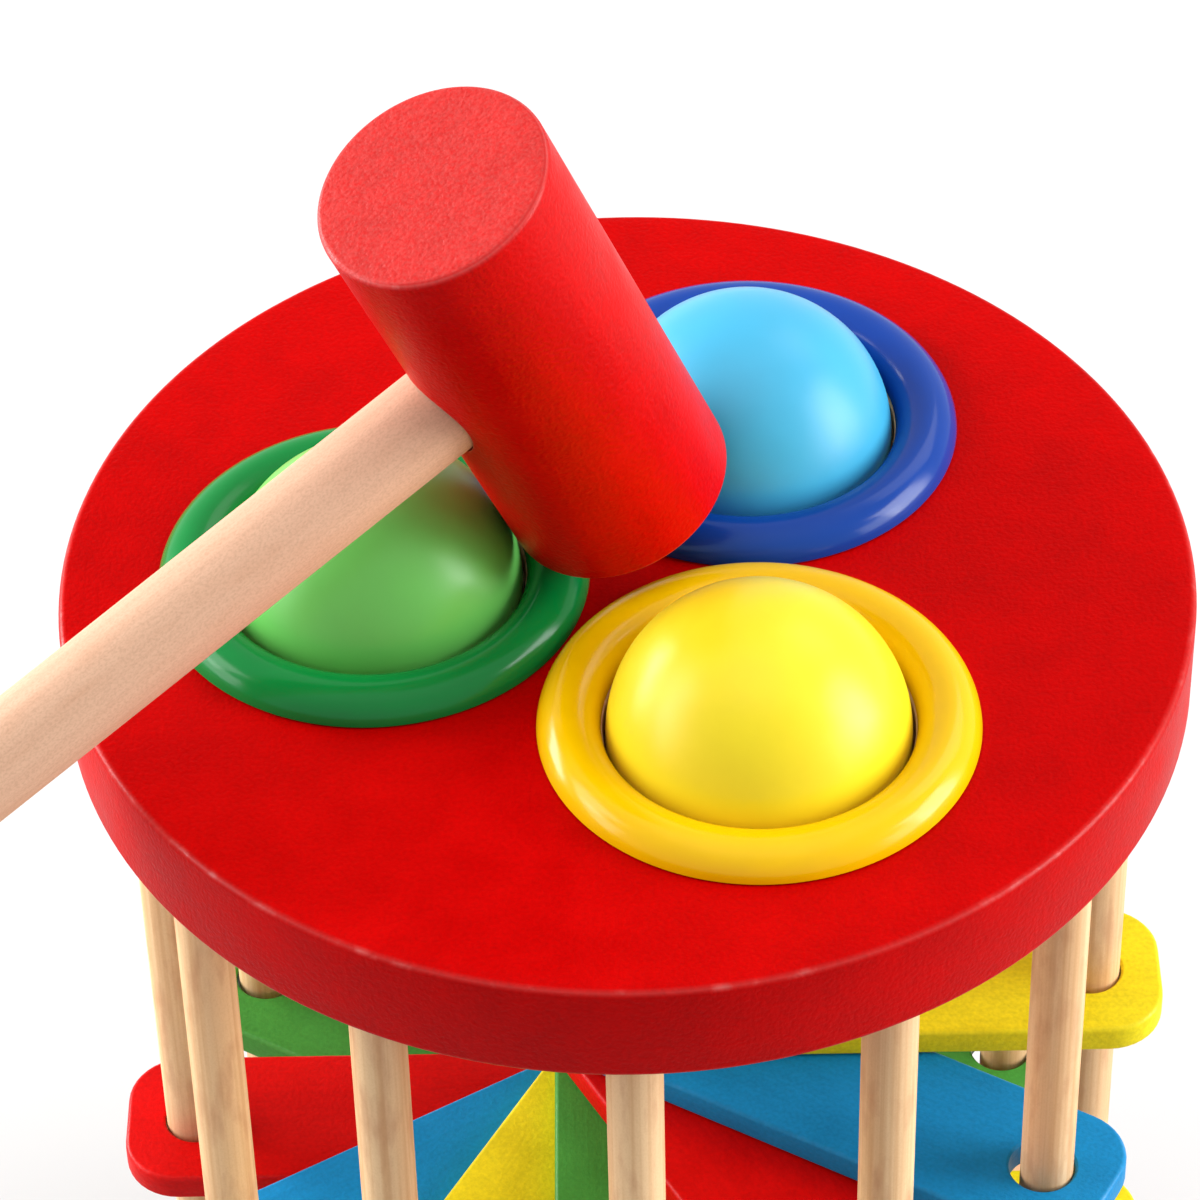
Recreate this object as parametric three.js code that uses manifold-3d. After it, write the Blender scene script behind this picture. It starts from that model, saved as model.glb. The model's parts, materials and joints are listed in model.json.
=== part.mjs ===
// Pound and roll tower: a wooden toy. Three balls are hammered through holes in a round
// table, drop onto a spiral stair of painted steps and roll out at the foot of the tower.
// Millimetres, +Z up, origin at the middle of the base's underside.

import * as THREE from 'three';
import { mergeVertices } from 'three/addons/utils/BufferGeometryUtils.js';
import Module from 'manifold-3d';

// Driving dimensions: clearances

const GLUE_GAP = 0.3; // between pieces that are glued together or rest on each other
const STEP_HOLE_CLEARANCE = 1.1; // a step's loose hole is this much wider in radius than its dowel
const CUT_OVERSHOOT = 1; // how far a cutter runs past the face that it opens
const MERGE_DISTANCE = 1e-4; // corners closer than this are one corner
const HEIGHT_TOLERANCE = 1e-6; // how finely the hammer's height is found

// Driving dimensions: balls and what holds them

const BALL_COUNT = 3;
const BALL_DIAMETER = 45;
const FIRST_BALL_HEADING = 60; // degrees
const BALL_SINK = 1.2; // ball's centre below the table's top face
const BALL_CLEARANCE = 0.9; // ball to the wall of its hole
const RING_CLEARANCE = 0.6; // ball to the bore of the coloured ring
const RING_WIDTH = 9.5; // round section of the coloured ring
const RING_HEIGHT = 4.7; // crest of the ring above the table
const RING_SPACING = 0.8; // between neighbouring rings
const RETAINER_CORD = 4; // round section of the rubber ring under each ball
const RETAINER_BITE = 1.2; // how far the rubber reaches in under the ball

// Driving dimensions: table, base, dowels and post

const TABLE_HEIGHT = 226.9; // table's top face above the ground
const TABLE_THICKNESS = 17.6;
const TABLE_MARGIN = 15; // wood from the coloured rings to the table's rim
const BASE_THICKNESS = 16;
const PLATE_EDGE_RADIUS = 1.2;
const DOWEL_COUNT = 12;
const DOWEL_DIAMETER = 8.4;
const DOWEL_INSET = 11; // dowel's axis to the rim of the plates
const DOWEL_SOCKET_DEPTH = 8;
const DOWEL_CHAMFER = 0.6;
const POST_DIAMETER = 14;
const POST_SOCKET_DEPTH = 8;

// Driving dimensions: spiral stair

const STEP_COUNT = 24;
const STEP_THICKNESS = 5.2;
const STEP_WIDTH = 27;
const STEP_OVERHANG = 10.9; // dowel's axis to the step's outer end
const STEP_CORNER_RADIUS = 9;
const STEP_HOLE_INSET = 0.8; // loose hole's axis to the dowel's axis, towards the post
const FIRST_STEP_HEADING = 90; // degrees, also the first dowel's

// Driving dimensions: hammer

const HEAD_DIAMETER = 34.8;
const HEAD_LENGTH = 76;
const HEAD_EDGE_RADIUS = 1;
const HANDLE_DIAMETER = 14.2;
const HANDLE_REACH = 150; // head's axis to the handle's end
const HANDLE_SOCKET_DEPTH = 24;
const HANDLE_END_RADIUS = 3;
const HAMMER_HEADING = 211.2; // degrees, the way that the handle points
const HAMMER_PITCH = 22.7; // degrees, handle end down
const HAMMER_X = -13.4; // middle of the head
const HAMMER_Y = -1.5;

// Facets

const PLATE_FACETS = 60;
const HOLE_FACETS = 36;
const RING_FACETS = 36;
const RING_ARC_FACETS = 6;
const CORD_FACETS = 6;
const DOWEL_FACETS = 12;
const STEP_CORNER_FACETS = 3;
const STEP_HEEL_FACETS = 8;
const BALL_FACETS = 26;
const BALL_BANDS = 12;
const HEAD_FACETS = 36;
const HANDLE_FACETS = 20;
const EDGE_FACETS = 2;

// Worked-out dimensions

const ballRadius = BALL_DIAMETER / 2;
const holeRadius = ballRadius + BALL_CLEARANCE;
const ringSectionRadius = RING_WIDTH / 2;
const ringSectionMiddle = RING_HEIGHT - ringSectionRadius; // from the table's top face
const ringMiddleRadius = ballRadius + RING_CLEARANCE + ringSectionRadius;
const ringOuterRadius = ringMiddleRadius + ringSectionRadius;
const holeCircleRadius = (ringOuterRadius + RING_SPACING / 2) / Math.sin(Math.PI / BALL_COUNT);
const cordRadius = RETAINER_CORD / 2;
const cordCircleRadius = ballRadius - RETAINER_BITE + cordRadius;
const ballSeatDistance = ballRadius + cordRadius + GLUE_GAP;
const cordDrop = Math.sqrt(ballSeatDistance ** 2 - cordCircleRadius ** 2);

const plateRadius = holeCircleRadius + ringOuterRadius + TABLE_MARGIN;
const dowelRadius = DOWEL_DIAMETER / 2;
const dowelCircleRadius = plateRadius - DOWEL_INSET;
const dowelSpacing = (2 * Math.PI) / DOWEL_COUNT;
const postRadius = POST_DIAMETER / 2;

const stepPitch = STEP_THICKNESS + GLUE_GAP;
const tableUnderside = TABLE_HEIGHT - TABLE_THICKNESS;
const exitDowel = DOWEL_COUNT - 1; // stops short above the way out, just before the first step
const exitStep = exitDowel; // the step that roofs the way out

const headRadius = HEAD_DIAMETER / 2;
const handleRadius = HANDLE_DIAMETER / 2;

// Materials

const paint = (colour) => new THREE.MeshStandardMaterial({ color: colour, roughness: 0.45, metalness: 0 });
const gloss = (colour) => new THREE.MeshStandardMaterial({ color: colour, roughness: 0.22, metalness: 0 });
const wood = (colour) => new THREE.MeshStandardMaterial({ color: colour, roughness: 0.65, metalness: 0 });
const rubber = (colour) => new THREE.MeshStandardMaterial({ color: colour, roughness: 0.85, metalness: 0 });

const RED = '#d61212';
const BEECH = '#e3c49a';
const PINE = '#ecd2a4';
const NATURAL_RUBBER = '#c09468';
const STEP_COLOURS = ['#1f7fba', '#e9cf27', '#4a9b41', '#db1616']; // from the lowest step up
const STATIONS = [
  { name: 'blue', ball: '#4fc3f0', ring: '#0b46a0' },
  { name: 'green', ball: '#6fd468', ring: '#00873a' },
  { name: 'yellow', ball: '#f7ea30', ring: '#f5c800' },
];

// Joining and cutting

const wasm = await Module();
wasm.setup();

// Closed solid of a geometry, with its shared corners merged and its empty triangles dropped
function solidOf(geometry) {
  const bare = geometry.clone();
  bare.deleteAttribute('normal');
  bare.deleteAttribute('uv');
  const merged = mergeVertices(bare, MERGE_DISTANCE);
  const corners = merged.index.array;
  const kept = [];
  for (let i = 0; i < corners.length; i += 3) {
    const [a, b, c] = corners.slice(i, i + 3);
    if (a !== b && b !== c && c !== a) kept.push(a, b, c);
  }
  const vertProperties = new Float32Array(merged.attributes.position.array);
  return new wasm.Manifold(new wasm.Mesh({ numProp: 3, vertProperties, triVerts: new Uint32Array(kept) }));
}

function geometryOf(solid) {
  const { vertProperties, triVerts } = solid.getMesh();
  const geometry = new THREE.BufferGeometry();
  geometry.setAttribute('position', new THREE.BufferAttribute(vertProperties, 3));
  geometry.setIndex(new THREE.BufferAttribute(triVerts, 1));
  geometry.computeVertexNormals();
  return geometry;
}

function cut(geometry, cutters) {
  let solid = solidOf(geometry);
  for (const cutter of cutters) solid = solid.subtract(solidOf(cutter));
  return geometryOf(solid);
}

// Basic forms

const radians = THREE.MathUtils.degToRad;
const ballHeading = (index) => radians(FIRST_BALL_HEADING) + (2 * Math.PI * index) / BALL_COUNT;
const dowelHeading = (index) => radians(FIRST_STEP_HEADING) + index * dowelSpacing;

function onCircle(radius, angle, height = 0) {
  return new THREE.Vector3(radius * Math.cos(angle), radius * Math.sin(angle), height);
}

// Points of an arc in the plane of a profile, both ends included
function arc(x, y, radius, from, to, facets) {
  return Array.from({ length: facets + 1 }, (_, i) => {
    const angle = from + ((to - from) * i) / facets;
    return new THREE.Vector2(x + radius * Math.cos(angle), y + radius * Math.sin(angle));
  });
}

// Solid of revolution about Z; the profile holds radius and height, from the bottom up
function turned(profile, facets) {
  return new THREE.LatheGeometry(profile, facets).rotateX(Math.PI / 2);
}

// Round bar standing on Z, with an edge radius of its own at the foot and at the top
function bar(radius, length, facets, footEdge, topEdge, edgeFacets) {
  const foot = arc(radius - footEdge, footEdge, footEdge, -Math.PI / 2, 0, edgeFacets);
  const top = arc(radius - topEdge, length - topEdge, topEdge, 0, Math.PI / 2, edgeFacets);
  return turned([new THREE.Vector2(0, 0), ...foot, ...top, new THREE.Vector2(0, length)], facets);
}

// Plain round cutter standing on Z
function drill(radius, length, facets) {
  const corners = [[0, 0], [radius, 0], [radius, length], [0, length]];
  return turned(corners.map(([x, y]) => new THREE.Vector2(x, y)), facets);
}

// Ring of revolution whose profile closes on itself
function hoop(profile, facets) {
  return turned([...profile, profile[0].clone()], facets);
}

function plate(thickness) {
  return bar(plateRadius, thickness, PLATE_FACETS, PLATE_EDGE_RADIUS, PLATE_EDGE_RADIUS, EDGE_FACETS);
}

// Blind holes for the dowels, opening at one face of a plate
function socketDrills(skip, foot) {
  const depth = DOWEL_SOCKET_DEPTH + CUT_OVERSHOOT;
  const drills = [];
  for (let i = 0; i < DOWEL_COUNT; i += 1) {
    if (i === skip) continue;
    const place = onCircle(dowelCircleRadius, dowelHeading(i), foot);
    drills.push(drill(dowelRadius + GLUE_GAP, depth, DOWEL_FACETS).translate(place.x, place.y, place.z));
  }
  return drills;
}

// Hole that a ball is hammered through, with the groove that keeps its rubber ring
function ballDrill() {
  const grooveRadius = cordCircleRadius + cordRadius + GLUE_GAP;
  const grooveTop = TABLE_THICKNESS - BALL_SINK - cordDrop + cordRadius + GLUE_GAP;
  const grooveFoot = grooveTop - RETAINER_CORD - 2 * GLUE_GAP;
  const corners = [
    [0, -CUT_OVERSHOOT],
    [holeRadius, -CUT_OVERSHOOT],
    [holeRadius, grooveFoot],
    [grooveRadius, grooveFoot],
    [grooveRadius, grooveTop],
    [holeRadius, grooveTop],
    [holeRadius, TABLE_THICKNESS + CUT_OVERSHOOT],
    [0, TABLE_THICKNESS + CUT_OVERSHOOT],
  ];
  return turned(corners.map(([x, y]) => new THREE.Vector2(x, y)), HOLE_FACETS);
}

// Sub-parts

function basePlate() {
  const postDrill = drill(postRadius + GLUE_GAP, POST_SOCKET_DEPTH + CUT_OVERSHOOT, DOWEL_FACETS);
  return cut(plate(BASE_THICKNESS), [
    ...socketDrills(exitDowel, BASE_THICKNESS - DOWEL_SOCKET_DEPTH),
    postDrill.translate(0, 0, BASE_THICKNESS - POST_SOCKET_DEPTH),
  ]);
}

function topPlate() {
  const postDrill = drill(postRadius + GLUE_GAP, POST_SOCKET_DEPTH + CUT_OVERSHOOT, DOWEL_FACETS);
  const ballDrills = STATIONS.map((_, i) => {
    const place = onCircle(holeCircleRadius, ballHeading(i));
    return ballDrill().translate(place.x, place.y, 0);
  });
  return cut(plate(TABLE_THICKNESS), [
    ...ballDrills,
    ...socketDrills(null, -CUT_OVERSHOOT),
    postDrill.translate(0, 0, -CUT_OVERSHOOT),
  ]);
}

// Dowel between the two plates, or down to the underside of the step above the way out
function dowel(index) {
  const socketFloor = GLUE_GAP - DOWEL_SOCKET_DEPTH;
  const foot = index === exitDowel ? stepFoot(exitStep) : BASE_THICKNESS + socketFloor;
  const length = tableUnderside - socketFloor - foot;
  const body = bar(dowelRadius, length, DOWEL_FACETS, DOWEL_CHAMFER, DOWEL_CHAMFER, 1);
  return { body, place: onCircle(dowelCircleRadius, dowelHeading(index), foot) };
}

function centrePost() {
  const foot = BASE_THICKNESS - POST_SOCKET_DEPTH + GLUE_GAP;
  const length = tableUnderside + POST_SOCKET_DEPTH - GLUE_GAP - foot;
  return { body: bar(postRadius, length, DOWEL_FACETS, DOWEL_CHAMFER, DOWEL_CHAMFER, 1), foot };
}

function stepFoot(index) {
  return BASE_THICKNESS + GLUE_GAP + index * stepPitch;
}

// One step, pointing along +X: a round heel on the post and a round-cornered outer end
function step() {
  const side = STEP_WIDTH / 2;
  const end = dowelCircleRadius + STEP_OVERHANG;
  const corner = STEP_CORNER_RADIUS;
  const quarter = Math.PI / 2;
  const outline = new THREE.Shape([
    ...arc(end - corner, corner - side, corner, -quarter, 0, STEP_CORNER_FACETS),
    ...arc(end - corner, side - corner, corner, 0, quarter, STEP_CORNER_FACETS),
    ...arc(0, 0, side, quarter, 3 * quarter, STEP_HEEL_FACETS),
  ]);
  const holes = [
    [0, postRadius + GLUE_GAP],
    [dowelCircleRadius - STEP_HOLE_INSET, dowelRadius + STEP_HOLE_CLEARANCE],
  ];
  for (const [x, radius] of holes) {
    outline.holes.push(new THREE.Path(arc(x, 0, radius, 0, -2 * Math.PI, DOWEL_FACETS).slice(1)));
  }
  return new THREE.ExtrudeGeometry(outline, { depth: STEP_THICKNESS, bevelEnabled: false });
}

// Half-round collar on the table, flat underneath
function colouredRing() {
  const start = Math.asin((GLUE_GAP - ringSectionMiddle) / ringSectionRadius);
  const section = [ringMiddleRadius, ringSectionMiddle, ringSectionRadius];
  return hoop(arc(...section, start, Math.PI - start, RING_ARC_FACETS), RING_FACETS);
}

function retainingRing() {
  const section = arc(cordCircleRadius, 0, cordRadius, 0, 2 * Math.PI, CORD_FACETS);
  return hoop(section.slice(0, -1), RING_FACETS);
}

function ball() {
  return new THREE.SphereGeometry(ballRadius, BALL_FACETS, BALL_BANDS).rotateX(Math.PI / 2);
}

// Hammer head on Z with its middle at the origin; the handle's socket opens towards +X
function hammerHead() {
  const edge = HEAD_EDGE_RADIUS;
  const block = bar(headRadius, HEAD_LENGTH, HEAD_FACETS, edge, edge, EDGE_FACETS);
  const socket = drill(handleRadius + GLUE_GAP, HANDLE_SOCKET_DEPTH + CUT_OVERSHOOT, HANDLE_FACETS);
  socket.rotateY(Math.PI / 2).translate(headRadius - HANDLE_SOCKET_DEPTH, 0, 0);
  return cut(block.translate(0, 0, -HEAD_LENGTH / 2), [socket]);
}

function hammerHandle() {
  const foot = headRadius - HANDLE_SOCKET_DEPTH + GLUE_GAP;
  const length = HANDLE_REACH - foot;
  const stick = bar(handleRadius, length, HANDLE_FACETS, DOWEL_CHAMFER, HANDLE_END_RADIUS, EDGE_FACETS);
  return stick.rotateY(Math.PI / 2).translate(foot, 0, 0);
}

// Distance from a point to a round bar
function distanceToBar(point, { middle, direction, halfLength, radius }) {
  const offset = point.clone().sub(middle);
  const along = offset.dot(direction);
  const across = Math.sqrt(Math.max(offset.lengthSq() - along * along, 0));
  return Math.hypot(Math.max(Math.abs(along) - halfLength, 0), Math.max(across - radius, 0));
}

// Height of the hammer's middle at which it has come down onto the balls and rings
function hammerHeight(turn) {
  const headDirection = new THREE.Vector3(0, 0, 1).applyEuler(turn);
  const handleDirection = new THREE.Vector3(1, 0, 0).applyEuler(turn);
  const obstacles = STATIONS.flatMap((_, station) => {
    const hole = onCircle(holeCircleRadius, ballHeading(station), TABLE_HEIGHT);
    const crests = Array.from({ length: RING_FACETS }, (_, i) => {
      const point = onCircle(ringMiddleRadius, (2 * Math.PI * i) / RING_FACETS, ringSectionMiddle);
      return { point: point.add(hole), radius: ringSectionRadius };
    });
    const ballCentre = hole.clone().setZ(TABLE_HEIGHT - BALL_SINK);
    return [...crests, { point: ballCentre, radius: ballRadius }];
  });
  const clearanceAt = (height) => {
    const middle = new THREE.Vector3(HAMMER_X, HAMMER_Y, height);
    const reach = HANDLE_REACH / 2;
    const grip = middle.clone().addScaledVector(handleDirection, reach);
    const bars = [
      { middle, direction: headDirection, halfLength: HEAD_LENGTH / 2, radius: headRadius },
      { middle: grip, direction: handleDirection, halfLength: reach, radius: handleRadius },
    ];
    const gapTo = ({ point, radius }) => Math.min(...bars.map((each) => distanceToBar(point, each))) - radius;
    return Math.min(...obstacles.map(gapTo));
  };
  let low = TABLE_HEIGHT;
  let high = TABLE_HEIGHT + HEAD_LENGTH + HANDLE_REACH;
  while (high - low > HEIGHT_TOLERANCE) {
    const height = (low + high) / 2;
    if (clearanceAt(height) > GLUE_GAP) high = height;
    else low = height;
  }
  return high;
}

// Assembly

const tower = new THREE.Group();

function addPiece(parent, name, geometry, material, place = new THREE.Vector3(), heading = 0) {
  const mesh = new THREE.Mesh(geometry, material);
  mesh.name = name;
  mesh.position.copy(place);
  mesh.rotation.z = heading;
  parent.add(mesh);
}

const numbered = (name, index) => `${name}_${String(index + 1).padStart(2, '0')}`;

addPiece(tower, 'base_plate', basePlate(), paint(RED));
addPiece(tower, 'top_plate', topPlate(), paint(RED), new THREE.Vector3(0, 0, tableUnderside));

const post = centrePost();
addPiece(tower, 'centre_post', post.body, wood(PINE), new THREE.Vector3(0, 0, post.foot));

for (let i = 0; i < DOWEL_COUNT; i += 1) {
  const { body, place } = dowel(i);
  addPiece(tower, numbered('dowel', i), body, wood(PINE), place);
}

for (let i = 0; i < STEP_COUNT; i += 1) {
  const place = new THREE.Vector3(0, 0, stepFoot(i));
  const colour = STEP_COLOURS[i % STEP_COLOURS.length];
  addPiece(tower, numbered('step', i), step(), paint(colour), place, dowelHeading(i));
}

for (const [i, station] of STATIONS.entries()) {
  const hole = onCircle(holeCircleRadius, ballHeading(i), TABLE_HEIGHT);
  const ballCentre = hole.clone().setZ(TABLE_HEIGHT - BALL_SINK);
  const cordCentre = hole.clone().setZ(TABLE_HEIGHT - BALL_SINK - cordDrop);
  addPiece(tower, `ring_${station.name}`, colouredRing(), gloss(station.ring), hole);
  addPiece(tower, `retainer_${station.name}`, retainingRing(), rubber(NATURAL_RUBBER), cordCentre);
  addPiece(tower, `ball_${station.name}`, ball(), gloss(station.ball), ballCentre);
}

const hammer = new THREE.Group();
hammer.rotation.set(0, radians(HAMMER_PITCH), radians(HAMMER_HEADING), 'ZYX');
hammer.position.set(HAMMER_X, HAMMER_Y, hammerHeight(hammer.rotation));
addPiece(hammer, 'hammer_head', hammerHead(), paint(RED));
addPiece(hammer, 'hammer_handle', hammerHandle(), wood(BEECH));
tower.add(hammer);

export default tower;
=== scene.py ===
# Pound and roll tower: the finished wooden toy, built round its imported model.

import json
import math

import bmesh
import bpy
from bpy.props import FloatProperty, FloatVectorProperty, PointerProperty
from mathutils import Matrix, Vector


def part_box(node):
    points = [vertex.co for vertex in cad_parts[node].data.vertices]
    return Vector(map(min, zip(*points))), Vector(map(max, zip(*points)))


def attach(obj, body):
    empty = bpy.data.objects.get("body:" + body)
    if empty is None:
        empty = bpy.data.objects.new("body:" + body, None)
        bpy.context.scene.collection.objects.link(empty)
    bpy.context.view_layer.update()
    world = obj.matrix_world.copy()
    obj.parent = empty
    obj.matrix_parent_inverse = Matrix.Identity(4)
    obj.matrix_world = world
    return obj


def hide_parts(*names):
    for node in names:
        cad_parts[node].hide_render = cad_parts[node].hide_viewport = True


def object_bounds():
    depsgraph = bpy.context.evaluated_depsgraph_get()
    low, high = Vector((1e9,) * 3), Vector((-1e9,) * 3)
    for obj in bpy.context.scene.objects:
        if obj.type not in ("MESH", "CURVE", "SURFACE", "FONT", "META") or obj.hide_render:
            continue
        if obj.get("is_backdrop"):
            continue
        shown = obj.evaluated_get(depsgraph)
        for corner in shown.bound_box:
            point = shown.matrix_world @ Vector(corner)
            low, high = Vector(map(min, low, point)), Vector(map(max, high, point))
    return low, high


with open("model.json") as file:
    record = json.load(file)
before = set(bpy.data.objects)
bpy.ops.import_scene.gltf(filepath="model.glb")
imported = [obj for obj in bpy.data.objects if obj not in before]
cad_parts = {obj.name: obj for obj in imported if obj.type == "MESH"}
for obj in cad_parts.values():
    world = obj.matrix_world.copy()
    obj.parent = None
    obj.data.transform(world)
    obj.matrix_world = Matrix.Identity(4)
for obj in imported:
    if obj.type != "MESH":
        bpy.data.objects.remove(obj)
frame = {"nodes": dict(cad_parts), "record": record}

bl_info = {
    "name": "Pound and roll tower",
    "version": (1, 0, 0),
    "blender": (4, 5, 0),
    "location": "3D View > Sidebar > Tower",
    "description": "Models a wooden toy tower with hammered balls, a spiral stair and a hammer",
    "category": "Object",
}

# Places and sizes that come from the frame, in metres

CAD_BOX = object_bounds()
MM = 0.001

COLOURS = ("blue", "green", "yellow")
DOWELS = sorted(name for name in frame["nodes"] if name.startswith("dowel_"))
STEPS = sorted(name for name in frame["nodes"] if name.startswith("step_"))
SLOTS = {part["node"]: part["material_slot"] for part in frame["record"]["subparts"]}


def low(node):
    """Lowest corner of a node's box."""
    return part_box(node)[0]


def high(node):
    """Highest corner of a node's box."""
    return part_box(node)[1]


def size(node):
    """Lengths of a node's box."""
    return high(node) - low(node)


def middle(node):
    """Middle of a node's box."""
    return (low(node) + high(node)) / 2


TABLE_TOP = high("top_plate").z
PLATE_RADIUS = size("top_plate").x / 2
DOWEL_RADIUS = size(DOWELS[0]).x / 2
POST_RADIUS = size("centre_post").x / 2
BALL_RADIUS = size("ball_blue").z / 2
CORD_RADIUS = size("retainer_blue").x / 2
RING_CREST = high("ring_blue").z - TABLE_TOP
HANDLE_ROOT_DEPTH = 24 * MM
BAR_CHAMFER = 0.6 * MM
MERGE_DISTANCE = 1e-7
LEVEL_TOLERANCE = 1e-6
LOT_STEP = Vector((0.37, 0.11, 0.23))  # from one piece's place in the wood to the next one's

# Round forms: how many facets a full turn has

FINE_TURN = 192
HOLE_TURN = 128
BAR_TURN = 64
SOCKET_TURN = 40


class TowerSizes(bpy.types.PropertyGroup):
    """Small forms that finish the pieces."""

    plate_edge: FloatProperty(
        name="Plate edge", description="Rounding of the table's and the base's rims",
        default=1.2 * MM, unit="LENGTH")
    step_edge: FloatProperty(
        name="Step edge", description="Easing of the steps' long edges",
        default=0.8 * MM, unit="LENGTH")
    step_corner: FloatProperty(
        name="Step corner", description="Corner radius of a step's outer end, seen from above",
        default=9 * MM, unit="LENGTH")
    step_hole: FloatProperty(
        name="Step hole", description="How much wider in radius a step's loose hole is than its dowel",
        default=1.1 * MM, unit="LENGTH")
    step_hole_inset: FloatProperty(
        name="Step hole inset",
        description="From a dowel's axis to the loose hole's axis, towards the post",
        default=0.8 * MM, unit="LENGTH")
    glue_gap: FloatProperty(
        name="Glue gap", description="Room between a bar and its socket",
        default=0.3 * MM, unit="LENGTH")
    socket_depth: FloatProperty(
        name="Socket depth", description="Depth of the blind holes that take the dowels and the post",
        default=8 * MM, unit="LENGTH")
    hole_radius: FloatProperty(
        name="Ball hole", description="Radius of the holes that the balls are hammered through",
        default=BALL_RADIUS + 0.45 * MM, unit="LENGTH")
    hole_edge: FloatProperty(
        name="Hole edge", description="Chamfer of the ball holes",
        default=0.4 * MM, unit="LENGTH")
    ring_section: FloatProperty(
        name="Ring section", description="Radius of the coloured rings' round section",
        default=4.75 * MM, unit="LENGTH")
    cord_section: FloatProperty(
        name="Rubber section", description="Radius of the rubber rings' section",
        default=2 * MM, unit="LENGTH")
    head_radius: FloatProperty(
        name="Head radius", description="Radius of the hammer's head",
        default=17.4 * MM, unit="LENGTH")
    head_length: FloatProperty(
        name="Head length", description="Length of the hammer's head",
        default=75.7 * MM, unit="LENGTH")
    head_edge: FloatProperty(
        name="Head edge", description="Rounding of the head's end edges",
        default=1 * MM, unit="LENGTH")
    handle_radius: FloatProperty(
        name="Handle radius", description="Radius of the hammer's handle",
        default=7.1 * MM, unit="LENGTH")
    handle_reach: FloatProperty(
        name="Handle reach", description="From the head's axis to the handle's end",
        default=149.9 * MM, unit="LENGTH")
    handle_end: FloatProperty(
        name="Handle end", description="Rounding of the handle's end",
        default=3 * MM, unit="LENGTH")
    hammer_heading: FloatProperty(
        name="Hammer heading", description="The way that the handle points, seen from above",
        default=math.radians(211.2), subtype="ANGLE")
    hammer_pitch: FloatProperty(
        name="Hammer pitch", description="How far the handle's end is tipped down",
        default=math.radians(22.7), subtype="ANGLE")


def linear(code):
    """Linear colour of an sRGB hex code."""
    shares = (int(code[i:i + 2], 16) / 255 for i in (1, 3, 5))
    return tuple(c / 12.92 if c <= 0.04045 else ((c + 0.055) / 1.055) ** 2.4 for c in shares)


def colour_property(name, code):
    return FloatVectorProperty(
        name=name, description=f"Colour of the {name.lower()}",
        default=linear(code), size=3, min=0, max=1, subtype="COLOR")


class TowerColours(bpy.types.PropertyGroup):
    """Paints, lacquers, plastics and woods."""

    red_paint: colour_property("Red paint", "#BC0000")
    hammer_red: colour_property("Hammer red", "#C70000")
    step_red: colour_property("Step red", "#D20402")
    blue_paint: colour_property("Blue paint", "#1686C0")
    yellow_paint: colour_property("Yellow paint", "#E9D51D")
    green_paint: colour_property("Green paint", "#438D36")
    ring_blue: colour_property("Blue ring", "#063C96")
    ring_green: colour_property("Green ring", "#008238")
    ring_yellow: colour_property("Yellow ring", "#EEBF00")
    ball_blue: colour_property("Blue ball", "#43AED6")
    ball_green: colour_property("Green ball", "#6CC85E")
    ball_yellow: colour_property("Yellow ball", "#F3DE25")
    pine: colour_property("Pine", "#F5CFA0")
    pine_grain: colour_property("Pine grain", "#D59C66")
    beech: colour_property("Beech", "#E1B698")
    beech_grain: colour_property("Beech grain", "#C49377")
    rubber: colour_property("Rubber", "#C09468")
    floor: colour_property("Floor", "#B4B4B4")


# Shared modelling steps

def spin_profile(bm, points, turn, centre=(0, 0), closed=False):
    """Turns a profile of radius and height about an upright axis; returns the new faces."""
    before = set(bm.faces)
    verts = [bm.verts.new((centre[0] + r, centre[1], z)) for r, z in points]
    edges = [bm.edges.new(pair) for pair in zip(verts, verts[1:])]
    if closed:
        edges.append(bm.edges.new((verts[-1], verts[0])))
    bmesh.ops.spin(
        bm, geom=verts + edges, cent=(*centre, 0), axis=(0, 0, 1),
        angle=2 * math.pi, steps=turn, use_merge=True)
    bmesh.ops.remove_doubles(bm, verts=bm.verts, dist=MERGE_DISTANCE)
    return [face for face in bm.faces if face not in before]


def arc(x, z, radius, start, end, facets):
    """Points of an arc in a profile, both ends included; the angles are in degrees."""
    angles = (math.radians(start + (end - start) * i / facets) for i in range(facets + 1))
    return [(x + radius * math.cos(a), z + radius * math.sin(a)) for a in angles]


def close_level(bm, height):
    """Fills the flat face between the open loops that lie at one height."""
    loops = [
        edge for edge in bm.edges
        if edge.is_boundary and all(abs(v.co.z - height) < LEVEL_TOLERANCE for v in edge.verts)]
    bmesh.ops.triangle_fill(bm, edges=loops, use_beauty=True)


def rounded_bar(bm, radius, start, end, start_edge, end_edge, facets):
    """A closed round bar on Z with its two end edges rounded."""
    inner = (radius - max(start_edge, end_edge)) / 2
    spin_profile(bm, [
        (0, start),
        (inner, start),
        *arc(radius - start_edge, start + start_edge, start_edge, -90, 0, facets),
        *arc(radius - end_edge, end - end_edge, end_edge, 0, 90, facets),
        (inner, end),
        (0, end),
    ], BAR_TURN)


# The crest share drives both the rubbed paint and the pale sheen painted along the crest.
def edge_wear_and_sheen(radius, start, end, edge):
    """How near a point of a turned piece is to the crest of its rounded edges, from 0 to 1."""
    def wear(co):
        across = math.hypot(co.x, co.y) - (radius - edge)
        along = max(co.z - (end - edge), (start + edge) - co.z)
        if across <= 0 or along <= 0:
            return 0.0
        return 1 - abs(math.atan2(along, across) - math.pi / 4) / (math.pi / 4)
    return wear


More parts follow.
